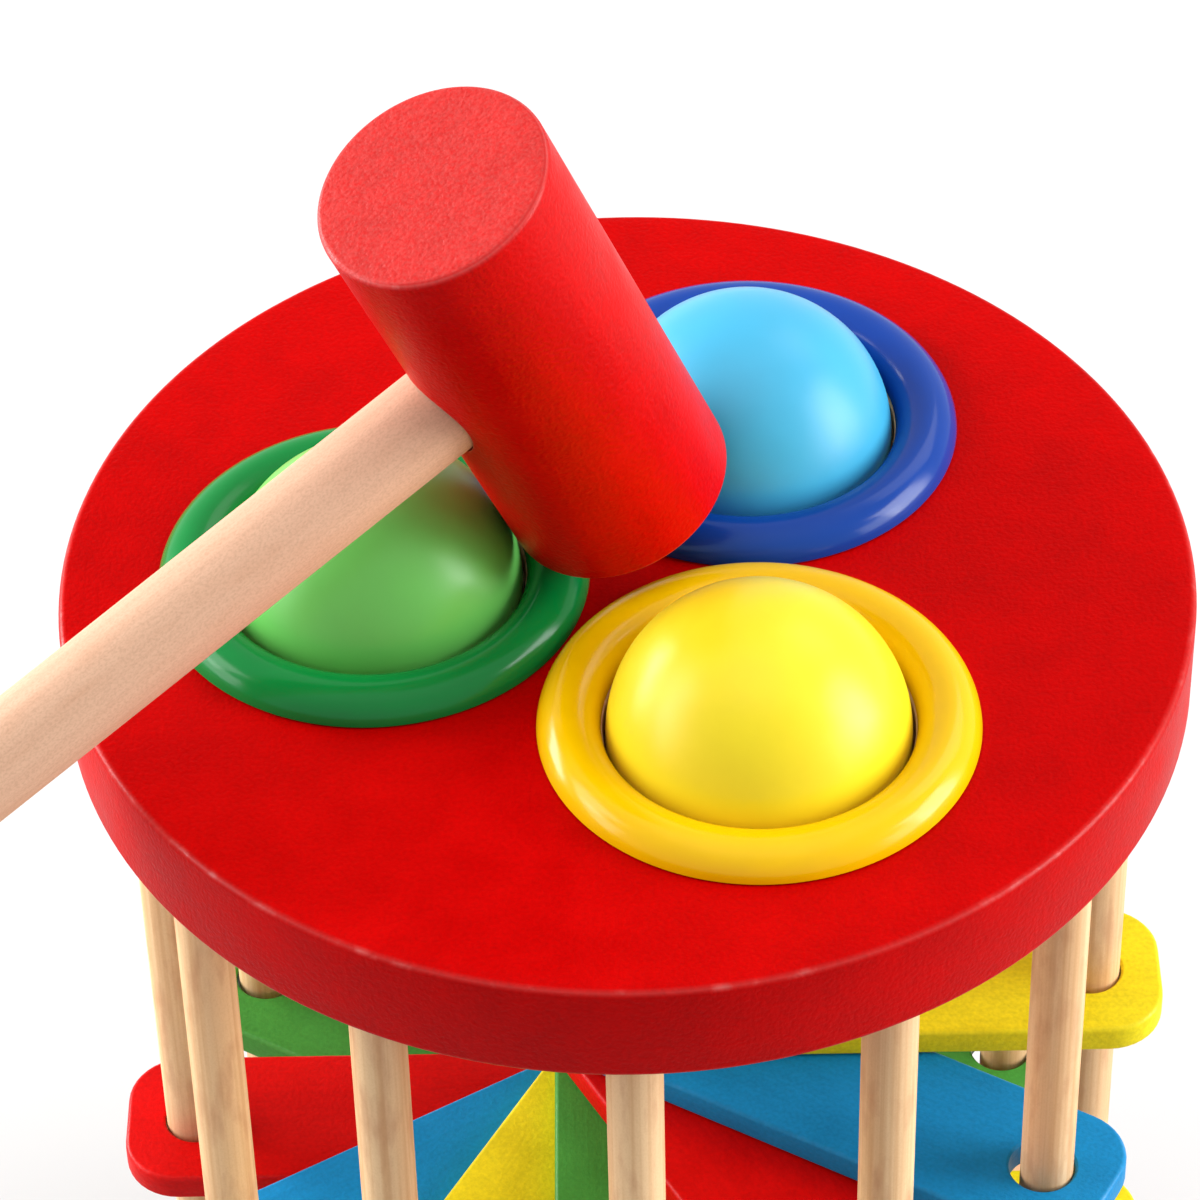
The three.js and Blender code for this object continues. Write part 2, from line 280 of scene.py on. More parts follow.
def finish_piece(bm, node, materials, place=Matrix(), grain="XYZ", smooth=35, **marks):
    """Makes the object that stands for a node. The mesh keeps the grain's own coordinates, with
    the grain along the first of them, and a value from 0 to 1 for each mark, such as rubbed edges with
    their painted sheen."""
    bmesh.ops.recalc_face_normals(bm, faces=bm.faces)
    grain_layer = bm.verts.layers.float_vector.new("grain")
    order = ["XYZ".index(axis) for axis in grain]
    lot = LOT_STEP * sorted(SLOTS).index(node)
    for vert in bm.verts:
        vert[grain_layer] = Vector([vert.co[i] for i in order]) + lot
    for name, share in marks.items():
        layer = bm.verts.layers.float.new(name)
        for vert in bm.verts:
            vert[layer] = share(vert.co)
    bmesh.ops.transform(bm, matrix=place, verts=bm.verts)
    mesh = bpy.data.meshes.new(f"{node}_finished")
    bm.to_mesh(mesh)
    bm.free()
    for material in materials:
        mesh.materials.append(material)
    mesh.shade_smooth()
    mesh.set_sharp_from_angle(angle=math.radians(smooth))
    piece = bpy.data.objects.new(f"{node}_finished", mesh)
    bpy.context.scene.collection.objects.link(piece)
    body = next(name for name, nodes in frame["record"]["behaviour"]["bodies"].items() if node in nodes)
    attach(piece, body)
    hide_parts(node)
    return piece


# Materials

# This pale red also gives the sheen painted along edge crests and on end grain.
RUBBED_RED_AND_SHEEN = "#F2A8A0"  # red paint rubbed thin over pale wood
WOOD_BLUSH = "#C98C66"  # brownish stains in bare wood


def add(tree, kind, inputs=None, **settings):
    """Adds a node with its settings, and fills or links its inputs."""
    node = tree.nodes.new(kind)
    for name, value in settings.items():
        setattr(node, name, value)
    for socket, value in (inputs or {}).items():
        if isinstance(value, bpy.types.NodeSocket):
            tree.links.new(value, node.inputs[socket])
        else:
            node.inputs[socket].default_value = value
    return node


def new_material(name):
    """An empty node material, with the grain's coordinates."""
    material = bpy.data.materials.get(name)
    if material:
        return material, None, None
    material = bpy.data.materials.new(name)
    material.use_nodes = True
    material.node_tree.nodes.clear()
    grain = add(material.node_tree, "ShaderNodeAttribute", attribute_name="grain")
    return material, material.node_tree, grain.outputs["Vector"]


def per_mm(along, across=None):
    """Scale of a pattern whose marks are that many millimetres long and wide."""
    return tuple(1 / (mm * MM) for mm in (along, across or along, across or along))


def shade(colour, factor):
    """A lighter or darker colour of the same hue, with its alpha."""
    return (*(min(c * factor, 1) for c in colour), 1)


def painted_wood(
        name, colour, pale_wear_and_sheen, roughness, specular,
        rub=0.25, strand_mm=0.9, strand_share=0.1, relief=0.2):
    """Satin paint, sprayed over sanded wood: even colour with faint grain telegraphing through, a
    fine orange peel, crumbs on end grain, and edges rubbed pale and polished by handling. A faint
    pale line is also painted along every edge crest, and a paler tone on end grain, as their sheen."""
    material, tree, grain = new_material(name)
    if not tree:
        return material
    strands = add(tree, "ShaderNodeMapping", {"Vector": grain, "Scale": per_mm(30, strand_mm)})
    strand = add(tree, "ShaderNodeTexNoise", {"Vector": strands.outputs[0], "Scale": 1, "Detail": 3})
    cloud = add(tree, "ShaderNodeTexNoise", {"Vector": grain, "Scale": per_mm(9)[0], "Detail": 5})
    # Real orange peel is about 0.3 mm across; it is drawn at 0.7 mm so that it shows.
    peel = add(tree, "ShaderNodeTexNoise", {"Vector": grain, "Scale": per_mm(0.7)[0], "Detail": 2})
    crumbs = add(tree, "ShaderNodeTexNoise", {"Vector": grain, "Scale": per_mm(0.5)[0], "Detail": 4})
    end = add(tree, "ShaderNodeAttribute", attribute_name="end")
    # Colour: slow clouds, faint strands and fine mottling, paler on end grain, partly for its drier
    # look and partly as painted sheen
    slow = add(tree, "ShaderNodeMix", {0: strand_share, 2: cloud.outputs[0], 3: strand.outputs[0]})
    mottle = add(tree, "ShaderNodeMix", {0: 0.45, 2: slow.outputs[0], 3: peel.outputs[0]})
    mottle_share = add(tree, "ShaderNodeMapRange", {
        "Value": mottle.outputs[0], "From Min": 0.35, "From Max": 0.65})
    even = add(tree, "ShaderNodeMix", {
        0: mottle_share.outputs[0], 6: shade(colour, 0.87), 7: shade(colour, 1.13)}, data_type="RGBA")
    chalk_and_sheen = add(tree, "ShaderNodeMapRange", {
        "Value": crumbs.outputs[0], "From Min": 0.3, "From Max": 0.7, "To Min": 0.05, "To Max": 0.14})
    end_share = add(tree, "ShaderNodeMath", {
        0: end.outputs["Fac"], 1: chalk_and_sheen.outputs[0]}, operation="MULTIPLY")
    chalky_and_sheen = add(tree, "ShaderNodeMix", {
        0: end_share.outputs[0], 6: even.outputs[2], 7: (*pale_wear_and_sheen, 1)}, data_type="RGBA")
    # Edge crests: a faint pale line painted all along them as their sheen, paler still at spots where
    # the paint is rubbed through
    wear = add(tree, "ShaderNodeAttribute", attribute_name="wear")
    crest = add(tree, "ShaderNodeMath", {0: wear.outputs["Fac"], 1: 2.0}, operation="POWER")
    chips = add(tree, "ShaderNodeTexNoise", {"Vector": grain, "Scale": per_mm(4.5)[0], "Detail": 5})
    broken = add(tree, "ShaderNodeMapRange", {
        "Value": chips.outputs[0], "From Min": 0.55, "From Max": 0.72,
        "To Min": 0.25 * rub, "To Max": rub})
    wear_and_sheen_share = add(tree, "ShaderNodeMath", {
        0: crest.outputs[0], 1: broken.outputs[0]}, operation="MULTIPLY")
    surface = add(tree, "ShaderNodeMix", {
        0: wear_and_sheen_share.outputs[0], 6: chalky_and_sheen.outputs[2], 7: (*pale_wear_and_sheen, 1)}, data_type="RGBA")
    polish = add(tree, "ShaderNodeMath", {0: wear_and_sheen_share.outputs[0], 1: 3}, operation="MULTIPLY")
    rough = add(tree, "ShaderNodeMapRange", {
        "Value": cloud.outputs[0], "From Min": 0.3, "From Max": 0.7,
        "To Min": roughness - 0.06, "To Max": roughness + 0.06})
    # Relief: peel and strands everywhere, crumbs on the ends
    skin = add(tree, "ShaderNodeMix", {0: strand_share, 2: peel.outputs[0], 3: strand.outputs[0]})
    bump = add(tree, "ShaderNodeBump", {
        "Strength": 0.6, "Distance": relief * MM, "Height": skin.outputs[0]})
    rough_end = add(tree, "ShaderNodeBump", {
        "Strength": end.outputs["Fac"], "Distance": 0.06 * MM,
        "Height": crumbs.outputs[0], "Normal": bump.outputs[0]})
    shader = add(tree, "ShaderNodeBsdfPrincipled", {
        "Base Color": surface.outputs[2], "Roughness": rough.outputs[0], "IOR": 1.5,
        "Specular IOR Level": specular, "Normal": rough_end.outputs[0],
        "Coat Weight": polish.outputs[0], "Coat Roughness": 0.22})
    add(tree, "ShaderNodeOutputMaterial", {"Surface": shader.outputs[0]})
    return material


def bare_wood(name, light, dark, streaks, speckle, blush, roughness):
    """Sanded, unsealed wood: long pale and honey streaks along the grain, brownish blushes, a fine
    speckle of pores, and a dry surface with no gloss."""
    material, tree, grain = new_material(name)
    if not tree:
        return material
    band_lanes = add(tree, "ShaderNodeMapping", {"Vector": grain, "Scale": per_mm(120, 2.6)})
    band = add(tree, "ShaderNodeTexNoise", {"Vector": band_lanes.outputs[0], "Scale": 1, "Detail": 2})
    line_lanes = add(tree, "ShaderNodeMapping", {"Vector": grain, "Scale": per_mm(60, 0.7)})
    line = add(tree, "ShaderNodeTexNoise", {"Vector": line_lanes.outputs[0], "Scale": 1, "Detail": 3})
    # Pores are about 0.1 mm wide; they are drawn at 0.3 mm so that they show.
    pore_lanes = add(tree, "ShaderNodeMapping", {"Vector": grain, "Scale": per_mm(0.45, 0.3)})
    pore = add(tree, "ShaderNodeTexNoise", {"Vector": pore_lanes.outputs[0], "Scale": 1, "Detail": 2})
    streak = add(tree, "ShaderNodeMix", {0: 0.45, 2: band.outputs[0], 3: line.outputs[0]})
    streak_share = add(tree, "ShaderNodeMapRange", {
        "Value": streak.outputs[0], "From Min": 0.42, "From Max": 0.68, "To Min": 0, "To Max": streaks})
    tone = add(tree, "ShaderNodeMix", {
        0: streak_share.outputs[0], 6: (*light, 1), 7: (*dark, 1)}, data_type="RGBA")
    blush_lanes = add(tree, "ShaderNodeMapping", {"Vector": grain, "Scale": per_mm(12, 3)})
    patch = add(tree, "ShaderNodeTexNoise", {"Vector": blush_lanes.outputs[0], "Scale": 1, "Detail": 4})
    patch_share = add(tree, "ShaderNodeMapRange", {
        "Value": patch.outputs[0], "From Min": 0.5, "From Max": 0.75, "To Min": 0, "To Max": blush})
    blushed = add(tree, "ShaderNodeMix", {
        0: patch_share.outputs[0], 6: tone.outputs[2], 7: (*linear(WOOD_BLUSH), 1)}, data_type="RGBA")
    pore_share = add(tree, "ShaderNodeMapRange", {
        "Value": pore.outputs[0], "From Min": 0.42, "From Max": 0.7, "To Min": 0, "To Max": speckle})
    flecked = add(tree, "ShaderNodeMix", {
        0: pore_share.outputs[0], 6: blushed.outputs[2], 7: shade(dark, 0.8)}, data_type="RGBA")
    relief = add(tree, "ShaderNodeMix", {0: 0.5, 2: line.outputs[0], 3: pore.outputs[0]})
    bump = add(tree, "ShaderNodeBump", {
        "Strength": 0.3, "Distance": 0.1 * MM, "Height": relief.outputs[0]})
    rough = add(tree, "ShaderNodeMapRange", {
        "Value": line.outputs[0], "From Min": 0.3, "From Max": 0.7,
        "To Min": roughness - 0.06, "To Max": roughness + 0.06})
    shader = add(tree, "ShaderNodeBsdfPrincipled", {
        "Base Color": flecked.outputs[2], "Roughness": rough.outputs[0], "IOR": 1.5,
        "Specular IOR Level": 0.15, "Normal": bump.outputs[0]})
    add(tree, "ShaderNodeOutputMaterial", {"Surface": shader.outputs[0]})
    return material


def glossy_coat(name, colour, roughness, specular, wave_mm):
    """Poured gloss: moulded plastic or thick lacquer, clean and even, with the slow waviness
    and faint dulling of a handled toy."""
    material, tree, grain = new_material(name)
    if not tree:
        return material
    wave = add(tree, "ShaderNodeTexNoise", {"Vector": grain, "Scale": per_mm(wave_mm)[0], "Detail": 1})
    haze = add(tree, "ShaderNodeTexNoise", {"Vector": grain, "Scale": per_mm(5)[0], "Detail": 4})
    tone = add(tree, "ShaderNodeMix", {
        0: haze.outputs[0], 6: shade(colour, 0.95), 7: shade(colour, 1.04)}, data_type="RGBA")
    rough = add(tree, "ShaderNodeMapRange", {
        "Value": haze.outputs[0], "From Min": 0.3, "From Max": 0.7,
        "To Min": roughness - 0.03, "To Max": roughness + 0.05})
    bump = add(tree, "ShaderNodeBump", {
        "Strength": 0.25, "Distance": 0.3 * MM, "Height": wave.outputs[0]})
    shader = add(tree, "ShaderNodeBsdfPrincipled", {
        "Base Color": tone.outputs[2], "Roughness": rough.outputs[0], "IOR": 1.5,
        "Specular IOR Level": specular, "Normal": bump.outputs[0]})
    add(tree, "ShaderNodeOutputMaterial", {"Surface": shader.outputs[0]})
    return material


def matt_rubber(name, colour):
    """Natural rubber cord: tan, dull, with a dusty bloom."""
    material, tree, grain = new_material(name)
    if not tree:
        return material
    bloom = add(tree, "ShaderNodeTexNoise", {"Vector": grain, "Scale": per_mm(2)[0], "Detail": 4})
    tone = add(tree, "ShaderNodeMix", {
        0: bloom.outputs[0], 6: shade(colour, 0.85), 7: shade(colour, 1.2)}, data_type="RGBA")
    bump = add(tree, "ShaderNodeBump", {
        "Strength": 0.3, "Distance": 0.1 * MM, "Height": bloom.outputs[0]})
    shader = add(tree, "ShaderNodeBsdfPrincipled", {
        "Base Color": tone.outputs[2], "Roughness": 0.75, "IOR": 1.52, "Normal": bump.outputs[0]})
    add(tree, "ShaderNodeOutputMaterial", {"Surface": shader.outputs[0]})
    return material


def red_paint(context):
    return painted_wood(
        "Red satin paint on plates", context.scene.tower_colours.red_paint, linear(RUBBED_RED_AND_SHEEN),
        roughness=0.42, specular=0.045)


def pine(context):
    colours = context.scene.tower_colours
    return bare_wood(
        "Sanded pine", colours.pine, colours.pine_grain,
        streaks=0.7, speckle=0.12, blush=0.6, roughness=0.6)


# Pieces

def plate_rim(bm, bottom, top, edge):
    """The rounded rim of a plate, open towards the middle."""
    inner = PLATE_RADIUS - 3 * edge
    spin_profile(bm, [
        (inner, bottom),
        *arc(PLATE_RADIUS - edge, bottom + edge, edge, -90, 0, 6),
        *arc(PLATE_RADIUS - edge, top - edge, edge, 0, 90, 6),
        (inner, top),
    ], FINE_TURN)


def socket(bm, node, sizes, mouth, direction):
    """A blind hole that takes a bar; direction is 1 where it goes up from its mouth, or -1."""
    radius = size(node).x / 2 + sizes.glue_gap
    floor = mouth + direction * sizes.socket_depth
    wall = spin_profile(
        bm, [(radius, mouth), (radius, floor), (0, floor)], SOCKET_TURN, middle(node).xy)
    for face in wall:
        face.material_index = 1


class TOWER_OT_table(bpy.types.Operator):
    """Red table with three ball holes of bare wood and blind sockets underneath"""

    bl_idname = "tower.table"
    bl_label = "Table"

    def execute(self, context):
        sizes = context.scene.tower_sizes
        under = low("top_plate").z
        bm = bmesh.new()
        plate_rim(bm, under, TABLE_TOP, sizes.plate_edge)
        for colour in COLOURS:
            self.ball_hole(bm, sizes, middle(f"ball_{colour}"), middle(f"retainer_{colour}").z, under)
        for node in [*DOWELS, "centre_post"]:
            socket(bm, node, sizes, under, 1)
        close_level(bm, TABLE_TOP)
        close_level(bm, under)
        wear = edge_wear_and_sheen(PLATE_RADIUS, under, TABLE_TOP, sizes.plate_edge)
        finish_piece(bm, "top_plate", [red_paint(context), pine(context)], wear=wear)
        return {"FINISHED"}

    def ball_hole(self, bm, sizes, centre, cord_height, under):
        """A hole's wall of bare wood, with the groove for its rubber ring."""
        radius = sizes.hole_radius
        edge = sizes.hole_edge
        groove = CORD_RADIUS + sizes.glue_gap
        half_groove = sizes.cord_section + sizes.glue_gap
        wall = spin_profile(bm, [
            (radius + edge, TABLE_TOP),
            (radius, TABLE_TOP - edge),
            (radius, cord_height + half_groove),
            (groove, cord_height + half_groove),
            (groove, cord_height - half_groove),
            (radius, cord_height - half_groove),
            (radius, under + edge),
            (radius + edge, under),
        ], HOLE_TURN, centre.xy)
        for face in wall:
            face.material_index = 1


class TOWER_OT_base(bpy.types.Operator):
    """Red base with blind sockets for the dowels and the post"""

    bl_idname = "tower.base"
    bl_label = "Base"

    def execute(self, context):
        sizes = context.scene.tower_sizes
        bottom = low("base_plate").z
        top = high("base_plate").z
        bm = bmesh.new()
        plate_rim(bm, bottom, top, sizes.plate_edge)
        for node in [*DOWELS, "centre_post"]:
            if low(node).z < top:
                socket(bm, node, sizes, top, -1)
        close_level(bm, top)
        close_level(bm, bottom)
        wear = edge_wear_and_sheen(PLATE_RADIUS, bottom, top, sizes.plate_edge)
        finish_piece(bm, "base_plate", [red_paint(context), pine(context)], wear=wear)
        return {"FINISHED"}


class TOWER_OT_bars(bpy.types.Operator):
    """Dowels round the rim, and the post that carries the steps"""

    bl_idname = "tower.bars"
    bl_label = "Dowels and post"

    def execute(self, context):
        for node in [*DOWELS, "centre_post"]:
            bm = bmesh.new()
            rounded_bar(bm, size(node).x / 2, 0, size(node).z, BAR_CHAMFER, BAR_CHAMFER, 3)
            place = Matrix.Translation((*middle(node).xy, low(node).z))
            finish_piece(bm, node, [pine(context)], place, grain="ZXY")
        return {"FINISHED"}


class TOWER_OT_steps(bpy.types.Operator):
    """Painted steps with eased edges, a round heel on the post and a loose hole on the dowel"""

    bl_idname = "tower.steps"
    bl_label = "Steps"

    def execute(self, context):
        sizes = context.scene.tower_sizes
        colours = context.scene.tower_colours
        first = STEPS[0]
        width = size(first).x
        end = high(first).y
        thickness = size(first).z
        dowel_circle = middle(DOWELS[0]).xy.length
        pattern = self.outline(sizes, width, end, thickness)
        holes = (
            (0, POST_RADIUS + sizes.glue_gap),
            (dowel_circle - sizes.step_hole_inset, DOWEL_RADIUS + sizes.step_hole))
        for x, radius in holes:
            self.drill(pattern, x, radius, thickness, sizes.step_edge / 2)
        close_level(pattern, thickness)
        close_level(pattern, 0)
        for index, node in enumerate(STEPS):
            dowel = middle(DOWELS[index % len(DOWELS)])
            turn = Matrix.Rotation(math.atan2(dowel.y, dowel.x), 4, "Z")
            place = Matrix.Translation((0, 0, low(node).z)) @ turn
            slot = SLOTS[node]
            colour = colours.step_red if slot == "red_paint" else getattr(colours, slot)
            # A lighter copy of each step's paint is painted along its eased edges as their highlight.
            paint = painted_wood(
                f"{slot.split('_')[0].capitalize()} satin paint on step", colour,
                shade(colour, 1.6)[:3], roughness=0.5, specular=0.1, strand_share=0.35)
            finish_piece(
                pattern.copy(), node, [paint], place, wear=self.wear(thickness, sizes.step_edge))
        pattern.free()
        return {"FINISHED"}

    def outline(self, sizes, width, end, thickness):
        """A strip along +X with its corners rounded and its edges eased, open above and below."""
        side = width / 2
        bm = bmesh.new()
        heel = [bm.verts.new((-side, y, 0)) for y in (side, -side)]
        toe = [bm.verts.new((end, y, 0)) for y in (-side, side)]
        bm.faces.new([*heel, *toe])
        for corners, radius, segments in ((toe, sizes.step_corner, 10), (heel, side, 16)):
            bmesh.ops.bevel(
                bm, geom=corners, offset=radius, segments=segments, profile=0.5,
                affect="VERTICES", material=-1)
        bmesh.ops.remove_doubles(bm, verts=bm.verts, dist=MERGE_DISTANCE)
        raised = bmesh.ops.extrude_face_region(bm, geom=bm.faces[:])["geom"]
        bmesh.ops.translate(
            bm, vec=(0, 0, thickness), verts=[v for v in raised if isinstance(v, bmesh.types.BMVert)])
        bmesh.ops.recalc_face_normals(bm, faces=bm.faces)
        flats = [face for face in bm.faces if abs(face.normal.z) > 0.9]
        rims = [edge for face in flats for edge in face.edges]
        bmesh.ops.bevel(
            bm, geom=rims, offset=sizes.step_edge, segments=4, profile=0.5, affect="EDGES", material=-1)
        flats = [face for face in bm.faces if abs(face.normal.z) > 0.999]
        bmesh.ops.delete(bm, geom=flats, context="FACES_ONLY")
        return bm

    def drill(self, bm, x, radius, thickness, edge):
        """The wall of a hole right through a step."""
        spin_profile(bm, [
            (radius + edge, thickness),
            (radius, thickness - edge),
            (radius, edge),
            (radius + edge, 0),
        ], BAR_TURN, (x, 0))

    # Marks the eased edges, which get the painted highlight.
    def wear(self, thickness, edge):
        def share(co):
            depth = min(co.z, thickness - co.z) / edge
            return 1.0 if 0.02 < depth < 0.98 else 0.0
        return share


class TOWER_OT_rings(bpy.types.Operator):
    """Glossy half-round collars round the ball holes"""

    bl_idname = "tower.rings"
    bl_label = "Rings"

    def execute(self, context):
        sizes = context.scene.tower_sizes
        colours = context.scene.tower_colours
        section = sizes.ring_section
        for colour in COLOURS:
            node = f"ring_{colour}"
            foot = low(node).z - TABLE_TOP
            height = RING_CREST - section
            lean = math.degrees(math.asin((foot - height) / section))
            reach = section * math.cos(math.radians(lean))
            ring = size(node).x / 2 - reach
            bm = bmesh.new()
            spin_profile(bm, arc(ring, height, section, lean, 180 - lean, 28), FINE_TURN, closed=True)
            gloss = glossy_coat(
                f"{colour.capitalize()} moulded plastic", getattr(colours, node),
                roughness=0.17, specular=0.26, wave_mm=9)
            place = Matrix.Translation((*middle(node).xy, TABLE_TOP))
            finish_piece(bm, node, [gloss], place)
        return {"FINISHED"}


class TOWER_OT_retainers(bpy.types.Operator):
    """Rubber rings in the ball holes, which hold each ball until it is hammered through"""

    bl_idname = "tower.retainers"
    bl_label = "Rubber rings"

    def execute(self, context):
        section = context.scene.tower_sizes.cord_section
        rubber = matt_rubber("Matt natural rubber", context.scene.tower_colours.rubber)
        for colour in COLOURS:
            node = f"retainer_{colour}"
            bm = bmesh.new()
            spin_profile(bm, arc(CORD_RADIUS - section, 0, section, 0, 345, 23), HOLE_TURN, closed=True)
            finish_piece(bm, node, [rubber], Matrix.Translation(middle(node)))
        return {"FINISHED"}


class TOWER_OT_balls(bpy.types.Operator):
    """Turned wooden balls under coloured lacquer"""

    bl_idname = "tower.balls"
    bl_label = "Balls"

    def execute(self, context):
        colours = context.scene.tower_colours
        for colour in COLOURS:
            node = f"ball_{colour}"
            bm = bmesh.new()
            spin_profile(bm, arc(0, 0, BALL_RADIUS, -90, 90, 64), HOLE_TURN)
            lacquer = glossy_coat(
                f"{colour.capitalize()} lacquer on turned wood", getattr(colours, node),
                roughness=0.34, specular=0.35, wave_mm=14)
            finish_piece(bm, node, [lacquer], Matrix.Translation(middle(node)))
        return {"FINISHED"}


def hammer_place(sizes):
    """From the hammer's own frame, head on Z and handle on X, to where it leans."""
    turn = Matrix.Rotation(sizes.hammer_heading, 4, "Z") @ Matrix.Rotation(sizes.hammer_pitch, 4, "Y")
    return Matrix.Translation(middle("hammer_head")) @ turn


def carve(bm, tool):
    """The first mesh with the second cut out of it; both are used up."""
    blocks = []
    for part in (bm, tool):
        mesh = bpy.data.meshes.new("carving")
        part.to_mesh(mesh)
        part.free()
        block = bpy.data.objects.new("carving", mesh)
        bpy.context.scene.collection.objects.link(block)
        blocks.append(block)
    cut = blocks[0].modifiers.new("Cut", "BOOLEAN")
    cut.object = blocks[1]
    cut.operation = "DIFFERENCE"
    cut.solver = "EXACT"
    carved = bmesh.new()
    carved.from_object(blocks[0], bpy.context.evaluated_depsgraph_get())
    for block in blocks:
        mesh = block.data
        bpy.data.objects.remove(block)
        bpy.data.meshes.remove(mesh)
    return carved


class TOWER_OT_hammer_head(bpy.types.Operator):
    """Red hammer head with rubbed edges, a pale sheen painted along its edges and ends, and a blind
    socket for the handle
    """

    bl_idname = "tower.hammer_head"
    bl_label = "Hammer head"

    def execute(self, context):
        sizes = context.scene.tower_sizes
        half = sizes.head_length / 2
        radius = sizes.head_radius
        edge = sizes.head_edge
        bore = sizes.handle_radius + sizes.glue_gap
        # Close loops across the socket keep its rubbed lip a thin line
        lip_loops = [(radius, bore * (i / 10 - 1.25)) for i in range(26)]
        block = bmesh.new()
        spin_profile(block, [
            (0, -half),
            (radius - 3 * edge, -half),
            *arc(radius - edge, edge - half, edge, -90, 0, 6),
            *lip_loops,
            *arc(radius - edge, half - edge, edge, 0, 90, 6),
            (radius - 3 * edge, half),
            (0, half),
        ], FINE_TURN)
        bmesh.ops.recalc_face_normals(block, faces=block.faces)
        tool = bmesh.new()
        floor = radius - HANDLE_ROOT_DEPTH
        spin_profile(tool, [(0, floor), (bore, floor), (bore, 2 * radius), (0, 2 * radius)], BAR_TURN)
        # Half a facet's turn keeps the socket's corners off the head's own edges
        turn = Matrix.Rotation(math.pi / 2, 3, "Y") @ Matrix.Rotation(math.pi / BAR_TURN, 3, "Z")
        bmesh.ops.rotate(tool, matrix=turn, verts=tool.verts)
        bmesh.ops.recalc_face_normals(tool, faces=tool.faces)
        rim_wear_and_sheen = edge_wear_and_sheen(radius, -half, half, edge)
        paint = painted_wood(
            "Red satin paint on hammer", context.scene.tower_colours.hammer_red, linear(RUBBED_RED_AND_SHEEN),
            roughness=0.4, specular=0.08, rub=0.5, strand_mm=4, strand_share=0.5, relief=0.45)

        def wear(co):
            from_bore = math.hypot(co.y, co.z)
            lip = co.x > 0 and from_bore < bore * 1.02
            return 1.0 if lip else rim_wear_and_sheen(co)

        def end(co):
            return 1.0 if abs(co.z) > half - edge / 20 else 0.0

        finish_piece(
            carve(block, tool), "hammer_head", [paint], hammer_place(sizes), "ZXY", wear=wear, end=end)
        return {"FINISHED"}


class TOWER_OT_hammer_handle(bpy.types.Operator):
    """Bare beech handle with a rounded end"""

    bl_idname = "tower.hammer_handle"
    bl_label = "Hammer handle"

    def execute(self, context):
        sizes = context.scene.tower_sizes
        colours = context.scene.tower_colours
        root = sizes.head_radius - HANDLE_ROOT_DEPTH + sizes.glue_gap
        bm = bmesh.new()
        rounded_bar(
            bm, sizes.handle_radius, root, sizes.handle_reach, BAR_CHAMFER, sizes.handle_end, 8)
        beech = bare_wood(
            "Sanded beech", colours.beech, colours.beech_grain,
            streaks=0.35, speckle=0.3, blush=0.2, roughness=0.62)
        place = hammer_place(sizes) @ Matrix.Rotation(math.pi / 2, 4, "Y")
        finish_piece(bm, "hammer_handle", [beech], place, "ZXY")
        return {"FINISHED"}


# Stage

CAMERA_LENS = 152.46  # millimetres, on a 36 mm wide sensor
CAMERA_PITCH = 43.311  # degrees below level
CAMERA_YAW = 0.685  # degrees
CAMERA_ROLL = -1.5  # degrees
CAMERA_PLACE = Vector((2.6 * MM, -560.7 * MM, 523.0 * MM))  # from the middle of the table's top face
FLOOR_RADIUS = 8.0  # metres
FLOOR_DROP = 0.2 * MM  # below the base, so that the two faces don't mix
FLOOR_LIFT = 0.32  # the floor's own light near the object
LIT_FLOOR = (0.45, 1.5)  # metres from the object: where the lamps' reach ends, and where all is white
AMBIENT = 0.32  # the studio's light from all round
SOFTBOXES = (
    # name, heading and elevation in degrees, distance, width and height in metres, watts,
    # whether it is seen in reflections
    ("Left softbox", 178, 29, 1.3, 0.5, 0.7, 6.0, True),
    ("Left rear softbox", 152, 14, 1.4, 0.7, 0.7, 22.0, True),
    ("Left front softbox", 190, 12, 1.4, 0.6, 0.6, 5.0, True),
    ("Right softbox", -3, 18, 1.3, 0.6, 0.9, 17.0, True),
    ("Right front softbox", -20, 10, 1.4, 0.6, 0.6, 4.5, True),
    ("Back softbox", 45, 45, 1.5, 0.7, 0.7, 3.0, True),
    ("Overhead softbox", -90, 85, 1.5, 1.4, 1.4, 9.2, False),
)


def background_rays(tree):
    """1 for rays that show the background: straight to the camera, in a reflection or through glass."""
    ray = add(tree, "ShaderNodeLightPath").outputs
    seen = add(tree, "ShaderNodeMath", {
        0: ray["Is Camera Ray"], 1: ray["Is Glossy Ray"]}, operation="MAXIMUM")
    shown = add(tree, "ShaderNodeMath", {
        0: seen.outputs[0], 1: ray["Is Transmission Ray"]}, operation="MAXIMUM")
    return shown.outputs[0]


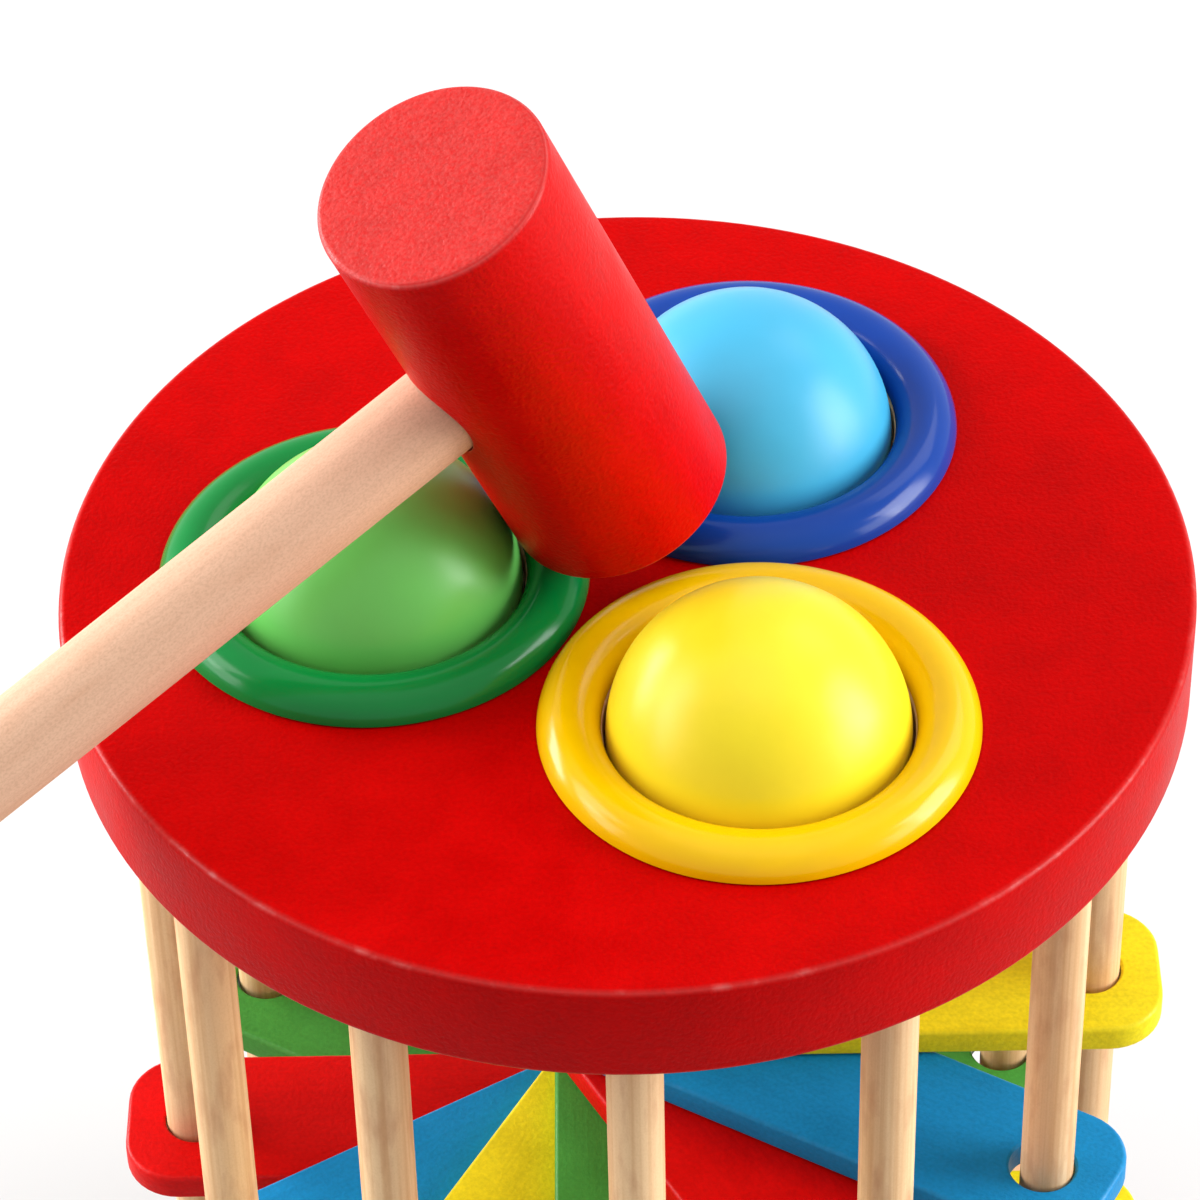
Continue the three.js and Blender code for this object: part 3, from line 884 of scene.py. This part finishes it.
class TOWER_OT_stage(bpy.types.Operator):
    """Pale floor, soft studio light and the camera"""

    bl_idname = "tower.stage"
    bl_label = "Stage"

    def execute(self, context):
        self.floor(context)
        self.world(context)
        for softbox in SOFTBOXES:
            self.softbox(context, *softbox)
        self.camera(context)
        context.scene.view_settings.view_transform = "Standard"
        return {"FINISHED"}

    def floor(self, context):
        bm = bmesh.new()
        bmesh.ops.create_circle(bm, cap_ends=True, radius=FLOOR_RADIUS, segments=96)
        bmesh.ops.translate(bm, vec=(0, 0, low("base_plate").z - FLOOR_DROP), verts=bm.verts)
        mesh = bpy.data.meshes.new("floor")
        bm.to_mesh(mesh)
        bm.free()
        material = bpy.data.materials.new("White studio floor")
        material.use_nodes = True
        tree = material.node_tree
        tree.nodes.clear()
        # Where it is seen, the floor gets a little light of its own, so that it is white where it is
        # lit and grey in the object's shadow. Past the lamps' reach it goes over into the white studio.
        place = add(tree, "ShaderNodeTexCoord")
        away = add(tree, "ShaderNodeVectorMath", {0: place.outputs["Object"]}, operation="LENGTH")
        lift = add(tree, "ShaderNodeMapRange", {
            "Value": away.outputs["Value"], "From Min": LIT_FLOOR[0], "From Max": LIT_FLOOR[1],
            "To Min": FLOOR_LIFT, "To Max": 1})
        seen = add(tree, "ShaderNodeMath", {
            0: background_rays(tree), 1: lift.outputs[0]}, operation="MULTIPLY")
        glow = add(tree, "ShaderNodeEmission", {"Color": (1, 1, 1, 1), "Strength": seen.outputs[0]})
        lit = add(tree, "ShaderNodeBsdfDiffuse", {"Color": (*context.scene.tower_colours.floor, 1)})
        both = add(tree, "ShaderNodeAddShader", {0: lit.outputs[0], 1: glow.outputs[0]})
        add(tree, "ShaderNodeOutputMaterial", {"Surface": both.outputs[0]})
        mesh.materials.append(material)
        floor = bpy.data.objects.new("floor", mesh)
        context.scene.collection.objects.link(floor)
        floor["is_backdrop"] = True

    def world(self, context):
        world = bpy.data.worlds.new("White studio")
        world.use_nodes = True
        tree = world.node_tree
        tree.nodes.clear()
        strength = add(tree, "ShaderNodeMapRange", {
            "Value": background_rays(tree), "To Min": AMBIENT, "To Max": 1})
        sky = add(tree, "ShaderNodeBackground", {
            "Color": (1, 1, 1, 1), "Strength": strength.outputs[0]})
        add(tree, "ShaderNodeOutputWorld", {"Surface": sky.outputs[0]})
        context.scene.world = world

    def softbox(self, context, name, heading, elevation, distance, width, height, watts, reflected):
        light = bpy.data.lights.new(name, "AREA")
        light.shape = "RECTANGLE"
        light.size = width
        light.size_y = height
        light.energy = watts
        lamp = bpy.data.objects.new(name, light)
        lamp.visible_glossy = reflected
        turn = (
            Matrix.Rotation(math.radians(heading), 3, "Z")
            @ Matrix.Rotation(math.radians(-elevation), 3, "Y"))
        out = turn @ Vector((1, 0, 0))
        lamp.location = Vector((0, 0, TABLE_TOP)) + out * distance
        lamp.rotation_euler = out.to_track_quat("Z", "Y").to_euler()
        context.scene.collection.objects.link(lamp)

    def camera(self, context):
        data = bpy.data.cameras.new("Photo camera")
        data.sensor_width = 36
        data.lens = CAMERA_LENS
        data.clip_end = 4 * FLOOR_RADIUS
        camera = bpy.data.objects.new("Photo camera", data)
        turn = (
            Matrix.Rotation(math.radians(CAMERA_YAW), 4, "Z")
            @ Matrix.Rotation(math.radians(90 - CAMERA_PITCH), 4, "X")
            @ Matrix.Rotation(math.radians(CAMERA_ROLL), 4, "Z"))
        camera.matrix_world = Matrix.Translation(Vector((0, 0, TABLE_TOP)) + CAMERA_PLACE) @ turn
        context.scene.collection.objects.link(camera)
        context.scene.camera = camera


OPERATORS = (
    TOWER_OT_table,
    TOWER_OT_base,
    TOWER_OT_bars,
    TOWER_OT_steps,
    TOWER_OT_rings,
    TOWER_OT_retainers,
    TOWER_OT_balls,
    TOWER_OT_hammer_head,
    TOWER_OT_hammer_handle,
    TOWER_OT_stage,
)


class TOWER_PT_panel(bpy.types.Panel):
    """Lists the pieces of the tower, with their sizes and colours"""

    bl_idname = "TOWER_PT_panel"
    bl_label = "Pound and roll tower"
    bl_space_type = "VIEW_3D"
    bl_region_type = "UI"
    bl_category = "Tower"

    def draw(self, context):
        for operator in OPERATORS:
            self.layout.operator(operator.bl_idname)
        for group in (context.scene.tower_sizes, context.scene.tower_colours):
            column = self.layout.column()
            for name in group.__annotations__:
                column.prop(group, name)


CLASSES = (TowerSizes, TowerColours, *OPERATORS, TOWER_PT_panel)


def register():
    for cls in CLASSES:
        bpy.utils.register_class(cls)
    bpy.types.Scene.tower_sizes = PointerProperty(type=TowerSizes)
    bpy.types.Scene.tower_colours = PointerProperty(type=TowerColours)


def unregister():
    del bpy.types.Scene.tower_colours
    del bpy.types.Scene.tower_sizes
    for cls in reversed(CLASSES):
        bpy.utils.unregister_class(cls)


def main():
    register()
    bpy.ops.tower.table()
    bpy.ops.tower.base()
    bpy.ops.tower.bars()
    bpy.ops.tower.steps()
    bpy.ops.tower.rings()
    bpy.ops.tower.retainers()
    bpy.ops.tower.balls()
    bpy.ops.tower.hammer_head()
    bpy.ops.tower.hammer_handle()
    bpy.ops.tower.stage()
    boxes = {"cad": CAD_BOX, "visual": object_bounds()}
    {name: [list(corner) for corner in box] for name, box in boxes.items()}


if __name__ == "__main__":
    main()
